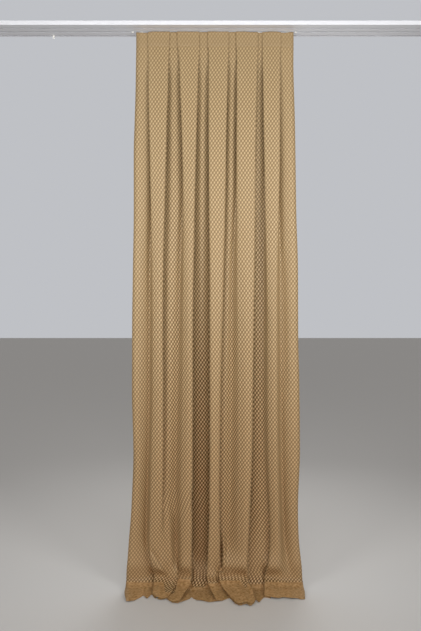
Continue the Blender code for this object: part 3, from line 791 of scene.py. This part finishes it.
@dataclass(frozen=True)
class TapeWeave:
    """Heading tape, narrow-woven in bleached polyester with a ribbed pocket for each hook.

    The close ribs run up the tape and stay matt, and the pockets' edges show as faint darker lines.
    """

    name: str = "woven polyester heading tape"
    cord: str = "#D9D4C6"
    gap: str = "#B4AD9B"
    rib: float = 0.0016
    pocket: float = 0.0125
    # How far up its wave a pocket's edge begins, how dark it gets, and how deep the ribs are.
    edge: float = 0.90
    shade: float = 0.3
    relief: float = 0.0003

    def make(self) -> bpy.types.Material:
        """Builds the material. Real ribs are 0.8 mm apart, and are drawn at twice that so that they show.

        Returns:
            The material.
        """
        material, tree, surface = blank_material(self.name)
        place = add_node(tree, "ShaderNodeSeparateXYZ", inputs={
            0: add_node(tree, "ShaderNodeTexCoord").outputs["Object"]})
        heights = []
        for pitch in (self.rib, self.pocket):
            turn = add_node(tree, "ShaderNodeMath", {"operation": "MULTIPLY"},
                            {0: place.outputs["X"], 1: 2 * math.pi / pitch})
            heights.append(add_node(tree, "ShaderNodeMath", {"operation": "COSINE"}, {0: turn.outputs[0]}))
        rib = add_node(tree, "ShaderNodeMapRange", inputs={"Value": heights[0].outputs[0], "From Min": -1.0})
        edge = add_node(tree, "ShaderNodeMapRange", inputs={
            "Value": heights[1].outputs[0], "From Min": self.edge, "To Min": 1.0, "To Max": self.shade})
        level = add_node(tree, "ShaderNodeMath", {"operation": "MULTIPLY"},
                         {0: rib.outputs[0], 1: edge.outputs[0]})
        colour = add_node(tree, "ShaderNodeMix", {"data_type": "RGBA"},
                          {"Factor": level.outputs[0], "A": srgb(self.gap), "B": srgb(self.cord)})
        bump = add_node(tree, "ShaderNodeBump", inputs={"Height": level.outputs[0], "Distance": self.relief})
        feed(surface, {"Base Color": colour.outputs["Result"], "Normal": bump.outputs[0]},
             {"Roughness": 0.85, "Sheen Weight": 0.2})
        return material


@dataclass(frozen=True)
class Thread:
    """Spun polyester sewing thread of two twisted plies. Along each stitch a painted highlight, lighter
    diagonal bands in its colour, draws the plies' soft slanting glint.
    """

    name: str = "spun polyester thread"
    light: str = "#A88E5F"
    dark: str = "#7A6238"
    twist: float = 0.0012
    band: float = 0.31  # a wave texture's scale times the distance between its bands

    def make(self) -> bpy.types.Material:
        """Builds the material. The real twist repeats every 0.6 mm, and is drawn at twice that.

        Returns:
            The material.
        """
        material, tree, surface = blank_material(self.name)
        wave = add_node(tree, "ShaderNodeTexWave", {"bands_direction": "DIAGONAL"}, {
            "Vector": add_node(tree, "ShaderNodeTexCoord").outputs["Object"], "Scale": self.band / self.twist,
            "Distortion": 0.5})
        # Painted highlight: the wave's light bands paint the twisted plies' glint into the colour.
        colour = add_node(tree, "ShaderNodeMix", {"data_type": "RGBA"},
                          {"Factor": wave.outputs["Fac"], "A": srgb(self.dark), "B": srgb(self.light)})
        feed(surface, {"Base Color": colour.outputs["Result"]}, {"Roughness": 0.6})
        return material


@dataclass(frozen=True)
class HardFinish:
    """A hard surface whose colour and roughness drift between two values over small clouds.

    fineness is how many clouds go into a metre, roughness is given for the dark and the light end, and dimple
    is how deep the clouds are pressed in, or 0. Metal keeps the default IOR.
    """

    name: str
    light: str
    dark: str
    fineness: float
    roughness: tuple[float, float]
    detail: float = 2.0
    dimple: float = 0.0
    ior: float = 1.5
    metal: bool = False

    def make(self) -> bpy.types.Material:
        """Builds the material.

        Returns:
            The material.
        """
        material, tree, surface = blank_material(self.name)
        cloud = add_node(tree, "ShaderNodeTexNoise", inputs={
            "Vector": add_node(tree, "ShaderNodeTexCoord").outputs["Object"], "Scale": self.fineness,
            "Detail": self.detail})
        colour = add_node(tree, "ShaderNodeMix", {"data_type": "RGBA"},
                          {"Factor": cloud.outputs["Fac"], "A": srgb(self.dark), "B": srgb(self.light)})
        rough = add_node(tree, "ShaderNodeMapRange", inputs={
            "Value": cloud.outputs["Fac"], "To Min": self.roughness[0], "To Max": self.roughness[1]})
        feed(surface, {"Base Color": colour.outputs["Result"], "Roughness": rough.outputs[0]},
             {"Metallic": 1.0} if self.metal else {"IOR": self.ior})
        if self.dimple:
            bump = add_node(tree, "ShaderNodeBump",
                            inputs={"Height": cloud.outputs["Fac"], "Distance": self.dimple})
            feed(surface, {"Normal": bump.outputs[0]})
        return material


# Extruded aluminium under baked white polyester powder coat. The powder flows out to a soft satin white, with
# the faint dimples of orange peel about 2.5 mm across.
POWDER_COAT = HardFinish("white powder coated aluminium", "#E4E5EA", "#D6D7DD", fineness=400.0,
                         roughness=(0.36, 0.50), dimple=0.00002)
# Acetal, injection moulded white: waxy and slippery, with a soft gloss that the mould's spark-eroded grain of
# about 0.5 mm breaks up.
ACETAL = HardFinish("moulded acetal", "#E9E7E1", "#DAD8D1", fineness=2000.0, roughness=(0.30, 0.46), ior=1.48)
# Steel wire and screws, bright zinc plated: a cool silver, in clouds of about 3 mm where the plating dulls.
ZINC_PLATE = HardFinish("zinc plated steel", "#D3D5D8", "#A9ACB1", fineness=330.0, roughness=(0.40, 0.22),
                        detail=3.0, metal=True)


@dataclass
class Curtain:
    """One width of jacquard, box pleated at its heading, hung in deep folds, its foot forward on the floor.

    shape() fills in the last five fields, the grid of the cloth with a row per station and a column per
    thread: positions, how far across (warp) and down (picks) the flat cloth each point is, how far it is in
    the plain border, and how strongly its grains stand out (painted_light_contrast). That contrast paints the
    room's light down the cloth, and painted shade and highlight in the hollows.
    """

    name: str = "curtain_cloth"
    thickness: float = 0.0010
    # The grid: how many columns it has, and rows from the heading to the drop, the bend, its end and the hem.
    columns: int = 404
    hanging_rows: int = 50
    drop_rows: int = 20
    bend_rows: int = 18
    lying_rows: int = 22
    # How finely a section is worked out, and how much closer together columns stand where it turns.
    fold_steps: int = 14
    samples: int = 1501
    turn_samples: int = 3001
    turn_limit: float = 0.30
    turn_window: int = 31
    turn_weight: float = 60
    turn_share: float = 2  # how much the mean over all rows counts beside the sharpest
    # The least and the most spare cloth that a row may have to tuck under.
    spare_limits: tuple[float, float] = (-0.08, 0.10)
    # The foot: the bend's radius, how high the front lies behind it and at the hem, and what lifts the
    # longest flaps.
    bend_radius: float = 0.050
    layer: float = 0.022
    hem_layer: float = 0.009
    ripple: float = 0.004
    ripple_reach: tuple[float, float] = (0.135, 0.04)
    lowest: float = 0.0008
    # How far the foot bellies out and tucks in, at which station, and over how far.
    tuck: float = 0.015
    tuck_station: float = 2.585
    tuck_reach: float = 0.030
    # The groove that the lower seam draws in the heading.
    seam_station: float = 0.093
    seam_reach: float = 0.0030
    seam_depth: float = 0.0014
    # How far a crease runs past its two ends, and over how far the plain border takes over from the jacquard.
    crease_run: float = 0.02
    border_blend: float = 0.004
    # Painted shade and highlight: in a hollow of this depth the grains are painted lighter and the ground
    # darker, fading out above the bend. The grains stand out less in the outer strips.
    hollow_depth: float = 0.09
    hollow_painted_shade: float = 0.6
    hollow_fade: float = 0.1
    strip_x: tuple[float, float] = (0.285, 0.04)
    strip_loss: float = 0.2
    positions: Array = field(init=False, repr=False)
    warp: Array = field(init=False, repr=False)
    picks: Array = field(init=False, repr=False)
    border: Array = field(init=False, repr=False)
    painted_light_contrast: Array = field(init=False, repr=False)

    def stations(self) -> Array:
        """Lists where the rows of the grid are, from the heading to the hem.

        Returns:
            The stations.
        """
        rows = [np.array(HEADING_ROWS)]
        for end, count in ((DROP_START, self.hanging_rows), (BEND_START, self.drop_rows),
                           (BEND_END, self.bend_rows), (HEM_STATION, self.lying_rows)):
            rows.append(np.linspace(rows[-1][-1], end, count + 1)[1:])
        return np.concatenate(rows)

    def section(self, at: Array, spare: Array) -> Section:
        """Reads the tables for the section through the pleats at each station.

        Args:
            at: the stations.
            spare: how much further each row's spare cloth is tucked under.

        Returns:
            The sections, in metres.
        """
        lines = LINES.read(at) / MM
        before, after, laps, radius = (table.read(at) / MM for table in (BEFORE, AFTER, LAP, RADIUS))
        laps = laps + spare[:, None] * SPARE.read(at)
        outer, crown = SIDES_BEHIND.read(at) / MM, CROWN.read(at) / MM
        return Section(lines[:, [0, -1]], outer, lines[:, 1:-1], before, after, laps, radius, crown)

    def flat_width(self) -> float:
        """The width of the cloth before it was pleated."""
        return float(self.section(np.array(HEADING_ROWS[:1]), np.zeros(1)).length()[0])

    def columns_at(self, x: Array, behind: Array) -> Array:
        """Chooses where the columns stand: closer together where any row turns.

        Args:
            x: finely spaced rows of x.
            behind: the same rows' distance behind the front.

        Returns:
            The columns as shares of the width.
        """
        fine = np.linspace(0, 1, self.turn_samples)
        x, behind = resample(x, behind, fine)
        heading = np.unwrap(np.arctan2(np.diff(behind, axis=1), np.diff(x, axis=1)), axis=1)
        turning = np.abs(np.diff(heading, axis=1))
        sharpest = np.minimum(turning.max(axis=0) + turning.mean(axis=0) * self.turn_share, self.turn_limit)
        window = np.hanning(self.turn_window) / np.hanning(self.turn_window).sum()
        weight = 1 + self.turn_weight * np.convolve(sharpest, window, mode="same")
        total = np.concatenate([[0], np.cumsum(weight)])
        total = np.interp(fine, np.linspace(0, 1, len(total)), total / total[-1])
        return np.interp(np.linspace(0, 1, self.columns), total, fine)

    def threads(self, at: Array) -> tuple[Array, Array, Array]:
        """Finds the same threads in every row.

        What a row's visible folds leave of the flat width is tucked under in its laps, below the heading. The
        rows are then rounded off, and read where the columns stand.

        Args:
            at: the stations.

        Returns:
            x and the distance behind the front, by row and column, and the columns as metres of the flat
            width.
        """
        width = self.flat_width()
        least, most = (np.full(len(at), limit) for limit in self.spare_limits)
        spare = solve(lambda s: self.section(at, s).length(), width, least, most)
        spare[at <= HEADING_FOOT] = 0
        log.info("spare cloth tucked under: %.0f to %.0f mm", spare.min() * MM, spare.max() * MM)
        x, behind = self.section(at, spare).points(self.fold_steps)
        x, behind = resample(x, behind, np.linspace(0, 1, self.samples))
        reach = SOFTNESS.read(at)[:, 0] / MM / width * self.samples
        x, behind = soften(x, reach), soften(behind, reach)
        shares = self.columns_at(x, behind)
        return *resample(x, behind, shares), shares * width

    def hem_reach(self, at: Array, x: Array) -> Array:
        """Works out how far forward of the track the hem lies, for points anywhere on the foot.

        The fold lines fan out or close up on their way to the hem, so a point is first carried along them.

        Args:
            at: the stations of the rows.
            x: where their points are across.

        Returns:
            The hem's reach for each point.
        """
        lines = LINES.read(at) / MM
        hem_x, hem_y = np.array(HEM_LINE).T / MM
        carried = np.array([np.interp(row, line, lines[-1]) for row, line in zip(x, np.sort(lines, axis=1))])
        return np.interp(carried, hem_x, hem_y)

    def creased(self, at: Array, x: Array) -> Array:
        """Adds up the creases: each is a Gaussian across its line, faded to its ends by the root of a sine.

        Args:
            at: the stations of the rows.
            x: where their points are across.

        Returns:
            How far each point stands out.
        """
        proud = np.zeros_like(x)
        for crease in CREASES:
            line_x, line_s = np.array(crease.route).T
            along = (at - line_s[0] + self.crease_run) / (line_s[-1] - line_s[0] + 2 * self.crease_run)
            fade = np.sin(np.clip(along, 0, 1) * math.pi) ** 0.5
            line = np.interp(at, line_s, line_x)
            lean = np.abs(np.gradient(line, at))[:, None] / MM
            away = (x - line[:, None] / MM) / np.hypot(1, lean)
            wide = np.where(away > 0, crease.right, crease.left) / MM
            proud += crease.height / MM * fade[:, None] * np.exp(-0.5 * (away / wide) ** 2)
        return proud

    def tucked(self, at: Array, x: Array) -> Array:
        """How far the foot bellies out and then tucks in: the slope of a Gaussian down it, times a table."""
        away = (at[:, None] - self.tuck_station) / self.tuck_reach
        return -self.tuck * table_line(TUCK_LINE, x) * away * np.exp(0.5 - 0.5 * away**2)

    def place(self, at: Array, x: Array, behind: Array) -> Array:
        """Puts the rows in the room.

        Down to the bend a point stands at the front's distance less its own distance behind. It then goes
        round a quarter circle, and on the floor what was behind lies underneath. Creases, the tuck and the
        seam's groove push it forward, or up once it lies.

        Args:
            at: the stations of the rows.
            x: where their points are across.
            behind: how far each stands behind the front.

        Returns:
            The points.
        """
        turn = np.clip((at - BEND_START) / (BEND_END - BEND_START), 0, 1)[:, None] * math.pi / 2
        lying = np.clip((at - BEND_END) / (at[-1] - BEND_END), 0, 1)[:, None]
        radius = self.bend_radius
        under = self.layer + (self.hem_layer - self.layer) * lying - behind
        resting = self.lowest + np.maximum(under, 0)
        reach = self.hem_reach(at, x)
        longest, over = self.ripple_reach
        resting = resting + self.ripple * np.clip((reach - longest) / over, 0, 1) * lying
        bent = radius * (1 - np.sin(turn)) + resting * np.sin(turn)
        height = np.where(at[:, None] <= BEND_START, FLOOR_BELOW_CEILING - at[:, None], bent)
        forward = FRONT.read(at) / MM - behind + radius * (1 - np.cos(turn))
        forward = forward + (np.maximum(reach, forward) - forward) * lying
        proud = self.creased(at, x) + self.tucked(at, x)
        seam = (at[:, None] - self.seam_station) / self.seam_reach
        proud = proud - self.seam_depth * np.exp(-(seam**2))
        forward = forward + proud * np.cos(turn)
        height = height + np.maximum(proud, 0) * np.sin(turn)
        slack = np.clip((SCALLOP_FOOT - at[:, None]) / (SCALLOP_FOOT - at[0]), 0, 1)
        height = height - table_line(SCALLOPS, x) / MM * slack
        return np.stack([x, -forward, height - FLOOR_BELOW_CEILING], axis=-1)

    def figured(self, at: Array, x: Array, behind: Array) -> tuple[Array, Array]:
        """Works out where the cloth is plain, and how strongly its grains stand out elsewhere, as painted
        light
        and shade: the contrast follows LIFT down the cloth and grows in the hollows.

        Args:
            at: the stations of the rows.
            x: where their points are across.
            behind: how far each stands behind the front.

        Returns:
            The share of plain border and the grains' painted light and shade contrast, each from 0 to 1.
        """
        start, over = self.strip_x
        strip = np.clip((np.abs(x) - start) / over, 0, 1)
        hollow = np.clip(behind / self.hollow_depth, 0, 1)
        hanging = np.clip((BEND_START - at) / self.hollow_fade, 0, 1)[:, None]
        # Painted shade: the deeper the hollow, the lighter the grains and the darker the ground, down to the
        # bend.
        painted_light_contrast = LIFT.read(at) * (1 + self.hollow_painted_shade * hollow * hanging) * (1 - self.strip_loss * strip)
        border = np.clip((at[:, None] - table_line(BORDER_LINE, x)) / self.border_blend + 0.5, 0, 1)
        return border, np.clip(painted_light_contrast, 0, 1)

    def shape(self) -> None:
        """Works out the grid of the cloth."""
        at = self.stations()
        x, behind, across = self.threads(at)
        self.positions = self.place(at, x, behind)
        self.border, self.painted_light_contrast = self.figured(at, x, behind)
        tighter = PICK_GROWTH.read(at)[1:, 0]
        down = np.concatenate([[0], np.cumsum(np.diff(at) * tighter)])
        self.warp, self.picks = np.meshgrid(across, down)

    def lengths(self) -> Array:
        """The length of each warp thread."""
        return np.linalg.norm(np.diff(self.positions, axis=0), axis=-1).sum(axis=0)

    def foremost(self, x: Array, station: float) -> Array:
        """Finds the Y of the cloth's middle that is nearest the room at each x, in the row nearest a station.

        Args:
            x: the places across the cloth, each of which some thread of the row passes.
            station: the distance below the ceiling.

        Returns:
            The smallest of the Ys at which the row crosses each x.
        """
        row = self.positions[int(np.abs(self.stations() - station).argmin())]
        start, step = row[:-1, :2], np.diff(row[:, :2], axis=0)
        share = (x[:, None] - start[:, 0]) / np.where(np.abs(step[:, 0]) < TINY, TINY, step[:, 0])
        crossed = start[:, 1] + share * step[:, 1]
        return np.where((share >= 0) & (share <= 1), crossed, row[:, 1].max()).min(axis=1)

    def build(self) -> bpy.types.Object:
        """Makes the cloth's mesh from its grid and dresses both its faces.

        Returns:
            The cloth.
        """
        self.shape()
        sheet = grid_object(self.name, self.positions, self.warp, self.picks, self.thickness)
        # border is the plain weave; painted_light_contrast carries the painted light and shade to the
        # material.
        for name, values in (("border", self.border), ("painted_light_contrast", self.painted_light_contrast)):
            mask = sheet.data.attributes.new(name, "FLOAT", "POINT")
            mask.data.foreach_set("value", values.astype(np.float32).ravel())
        reverse = Jacquard("reverse of the satin jacquard", grain="#7E6841", ground="#A89167",
                           plain="#9A8257", shade="#836B43", relief=0.0002)
        for finish in (Jacquard(), reverse):
            sheet.data.materials.append(finish.make())
        sheet.modifiers["thickness"].material_offset = 1
        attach(sheet, "root")
        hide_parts("curtain")
        return sheet


@dataclass
class HeadingTape:
    """The woven tape sewn across the backs of the pleats, with a pocket for each hook."""

    name: str = "woven_heading_tape"
    thickness: float = 0.0009
    columns: int = 372
    rows: int = 18
    pocket: float = 0.0125
    swell: float = 0.00012

    def build(self) -> bpy.types.Object:
        """Makes the tape as a grid that swells at each pocket: the absolute sine across times the sine down.

        Returns:
            The tape.
        """
        low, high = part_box("heading_tape")
        x = np.linspace(low.x, high.x, self.columns)[None]
        z = np.linspace(high.z, low.z, self.rows)[:, None]
        over = np.abs(np.sin(x * math.pi / self.pocket)) * np.sin((high.z - z) / (high.z - low.z) * math.pi)
        y = (low.y + high.y) / 2 - self.swell + self.swell * 2 * over
        positions = np.stack(np.broadcast_arrays(x, y, z), axis=-1)
        u, v = np.broadcast_arrays(x - low.x, high.z - z)
        tape = grid_object(self.name, positions, u, v, self.thickness)
        tape.data.materials.append(TapeWeave(pocket=self.pocket).make())
        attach(tape, "root")
        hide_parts("heading_tape")
        return tape


@dataclass
class Stitches:
    """A row of lock stitches: each is a short thread, round in section, that thins to its ends."""

    name: str
    length: float = 0.0031
    radius: float = 0.00038
    sides: int = 6
    rings: tuple[float, ...] = (-1.0, -0.6, 0.6, 1.0)
    thinnest: float = 0.33

    def build(self, x: Array, y: Array, z: Array, thread: bpy.types.Material) -> bpy.types.Object:
        """Makes one mesh of all the stitches.

        A stitch's ring at t from -1 to 1 along it has the radius times the square root of 1 - t^4, kept above
        a third of it.

        Args:
            x: where each stitch's middle is, along the track.
            y: the same, from front to back.
            z: the same, in height.
            thread: what they are sewn with.

        Returns:
            The new object.
        """
        along = np.array(self.rings)
        around = np.arange(self.sides) * 2 * math.pi / self.sides
        thick = self.radius * np.maximum(np.sqrt(np.maximum(1 - along**4, 0)), self.thinnest)
        ring_y, ring_z = thick[:, None] * np.cos(around), thick[:, None] * np.sin(around)
        middle_x, middle_y, middle_z = (middle[:, None, None] for middle in (x, y, z))
        points = np.stack(np.broadcast_arrays(
            middle_x + along[:, None] * self.length / 2, middle_y + ring_y, middle_z + ring_z), axis=-1)
        index = np.arange(points[..., 0].size).reshape(points.shape[:3])
        turned = np.roll(index, -1, axis=2)
        corners = (index[:, :-1], index[:, 1:], turned[:, 1:], turned[:, :-1])
        walls = np.stack(corners, axis=-1).reshape(-1, 4)
        faces = walls.tolist() + index[:, 0].tolist() + index[:, -1, ::-1].tolist()
        mesh = bpy.data.meshes.new(self.name)
        mesh.from_pydata(points.reshape(-1, 3).tolist(), [], faces)
        mesh.shade_smooth()
        mesh.materials.append(thread)
        seam = show(self.name, mesh)
        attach(seam, "root")
        return seam


@dataclass
class Seams:
    """The two seams that hold the heading tape, seen from behind, and the lower one as it shows in front."""

    pitch: float = 0.0040
    inset: float = 0.0032
    margin: float = 0.004
    sunk: float = 0.0001
    front_x: tuple[float, float] = (-0.372, 0.376)
    front_station: float = 0.093
    proud: float = 0.0002

    def build(self, curtain: Curtain) -> list[bpy.types.Object]:
        """Makes the stitches along the tape's two edges and, under the heading, along the front of the cloth.

        Args:
            curtain: the cloth that the tape is sewn to, built already.

        Returns:
            The seams at the back and the seam in front.
        """
        thread = Thread().make()
        low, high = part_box("heading_tape")
        along = np.arange(low.x + self.margin, high.x - self.margin, self.pitch)
        back_y = np.full(along.size * 2, high.y - self.sunk)
        heights = np.repeat([high.z - self.inset, low.z + self.inset], along.size)
        back = Stitches("tape_stitches").build(np.tile(along, 2), back_y, heights, thread)
        front_x = np.arange(*self.front_x, self.pitch)
        front_y = curtain.foremost(front_x, self.front_station) - curtain.thickness / 2 + self.proud
        front_z = np.full(front_x.size, -self.front_station)
        return [back, Stitches("front_stitches").build(front_x, front_y, front_z, thread)]


@dataclass
class Fittings:
    """The track and the small parts on it, which keep the frame's own shapes and get their finishes here."""

    finishes: tuple[tuple[Slot, HardFinish], ...] = (
        (Slot.TRACK, POWDER_COAT), (Slot.PLASTIC, ACETAL), (Slot.STEEL, ZINC_PLATE))

    def dress(self) -> int:
        """Gives each part that the frame carries over the finish of its slot.

        Returns:
            How many parts there were.
        """
        materials = {slot.value: finish.make() for slot, finish in self.finishes}
        parts = [part for part in frame["record"]["subparts"] if part["material_slot"] in materials]
        for part in parts:
            faces = frame["nodes"][part["node"]].data
            faces.materials.clear()
            faces.materials.append(materials[part["material_slot"]])
        return len(parts)


@dataclass(frozen=True)
class Lamp:
    """One oblong soft light: where it stands, what it faces, its size, watts, colour and spread angle."""

    name: str
    place: Place
    aim: Place
    size: tuple[float, float]
    watts: float
    colour: str = "#FFFFFF"
    spread: float = 92

    def build(self) -> bpy.types.Object:
        """Makes the light, hidden from the camera.

        Returns:
            Its object.
        """
        data = bpy.data.lights.new(self.name, "AREA")
        data.shape = "RECTANGLE"
        data.size, data.size_y = self.size
        data.energy = self.watts
        data.color = srgb(self.colour)[:3]
        data.spread = math.radians(self.spread)
        lamp = bpy.data.objects.new(self.name, data)
        lamp.location = self.place
        lamp.rotation_euler = (Vector(self.aim) - Vector(self.place)).to_track_quat("-Z", "Y").to_euler()
        lamp.visible_camera = False
        bpy.context.scene.collection.objects.link(lamp)
        return lamp


LAMPS = (
    Lamp("key_right", (2.1, -2.3, -0.60), (0.0, 0.0, -0.90), (1.2, 1.4), 14.8),
    Lamp("key_left", (-2.1, -2.3, -0.60), (0.0, 0.0, -0.90), (1.2, 1.4), 11.6),
    Lamp("key_front", (0.1, -2.9, -0.55), (0.0, 0.0, -0.90), (2.2, 0.9), 16.2),
    Lamp("under_track", (0.0, -2.20, -2.30), (0.0, -0.02, 0.0), (2.2, 0.3), 1.0, spread=50),
    Lamp("back_fill", (0.6, 3.2, -0.5), (0.0, 0.0, -1.3), (2.4, 1.6), 14),
    Lamp("low_warm", (0.0, -2.2, -2.2), (0.0, 0.0, -2.45), (1.6, 0.5), 2.5, "#FFB27A"),
)


@dataclass
class Studio:
    """A pale floor, soft lights and the camera.

    The surroundings go from warm and dim in front of the curtain to cool and bright behind it, over the part
    of the direction's Y that turn gives.
    """

    eye: Place = (-0.019, -2.737, -1.382)
    lens: float = 32.63
    sensor: float = 36.0
    floor_half: float = 30.0
    floor_gap: float = 0.0003
    floor_paint: str = "#CFCDCA"
    warm: str = "#D7D0C6"
    cool: str = "#D3D5DA"
    strengths: tuple[float, float] = (0.37, 0.80)
    turn: tuple[float, float] = (-0.3, 0.5)
    lamps: dict[str, bpy.types.Object] = field(init=False, default_factory=dict)

    def build(self) -> None:
        """Makes the floor, the surroundings, the lights and the camera."""
        self.lay_floor()
        self.surround()
        self.lamps.update((lamp.name, lamp.build()) for lamp in LAMPS)
        self.set_camera()

    def lay_floor(self) -> None:
        """Lays the floor just under the hem, in matt paint, which takes soft shadows and no glint."""
        mesh = bpy.data.meshes.new("studio_floor")
        half, z = self.floor_half, -FLOOR_BELOW_CEILING - self.floor_gap
        mesh.from_pydata([(-half, -half, z), (half, -half, z), (half, half, z), (-half, half, z)], [],
                         [(0, 1, 2, 3)])
        paint, _, surface = blank_material("matt studio paint")
        feed(surface, fixed={"Base Color": srgb(self.floor_paint), "Roughness": 0.85})
        mesh.materials.append(paint)
        show("studio_floor", mesh)

    def surround(self) -> None:
        """Lights the world from all round."""
        world = bpy.data.worlds.new("studio")
        bpy.context.scene.world = world
        world.use_nodes = True
        tree = world.node_tree
        toward = add_node(tree, "ShaderNodeSeparateXYZ", inputs={
            0: add_node(tree, "ShaderNodeTexCoord").outputs["Generated"]})
        strength, tint = (
            add_node(tree, "ShaderNodeMapRange", inputs={
                "Value": toward.outputs["Y"], "From Min": self.turn[0], "From Max": self.turn[1],
                "To Min": front, "To Max": behind})
            for front, behind in (self.strengths, (0.0, 1.0)))
        colour = add_node(tree, "ShaderNodeMix", {"data_type": "RGBA"}, {
            "Factor": tint.outputs[0], "A": srgb(self.warm), "B": srgb(self.cool)})
        feed(tree.nodes["Background"], {"Color": colour.outputs["Result"], "Strength": strength.outputs[0]})

    def set_camera(self) -> None:
        """Sets up the camera, level and square to the curtain."""
        data = bpy.data.cameras.new("camera")
        data.sensor_width = self.sensor
        data.lens = self.lens
        camera = bpy.data.objects.new("camera", data)
        camera.location = self.eye
        camera.rotation_euler = (math.pi / 2, 0, 0)
        bpy.context.scene.collection.objects.link(camera)
        bpy.context.scene.camera = camera
        bpy.context.scene.view_settings.view_transform = "Standard"

    def reserve(self, name: str, lit: list[bpy.types.Object]) -> None:
        """Keeps one lamp's light to the objects given.

        Args:
            name: the lamp's name.
            lit: what it may light.
        """
        group = bpy.data.collections.new(name)
        for thing in lit:
            group.objects.link(thing)
        self.lamps[name].light_linking.receiver_collection = group


def main() -> None:
    """Builds the studio, the curtain, its tape and seams, and dresses the fittings."""
    logging.basicConfig(level=logging.INFO)
    studio = Studio()
    studio.build()
    curtain = Curtain()
    cloth = curtain.build()
    log.info("%s: %d points, width %.3f, length %.3f to %.3f m", cloth.name, len(cloth.data.vertices),
             curtain.flat_width(), curtain.lengths().min(), curtain.lengths().max())
    tape = HeadingTape().build()
    for piece in (tape, *Seams().build(curtain)):
        log.info("%s: %d faces", piece.name, len(piece.data.polygons))
    log.info("%d fittings dressed", Fittings().dress())
    studio.reserve("under_track", [bpy.data.objects[name] for name in frame["nodes"]])
    studio.reserve("low_warm", [cloth])


if __name__ == "__main__":
    main()
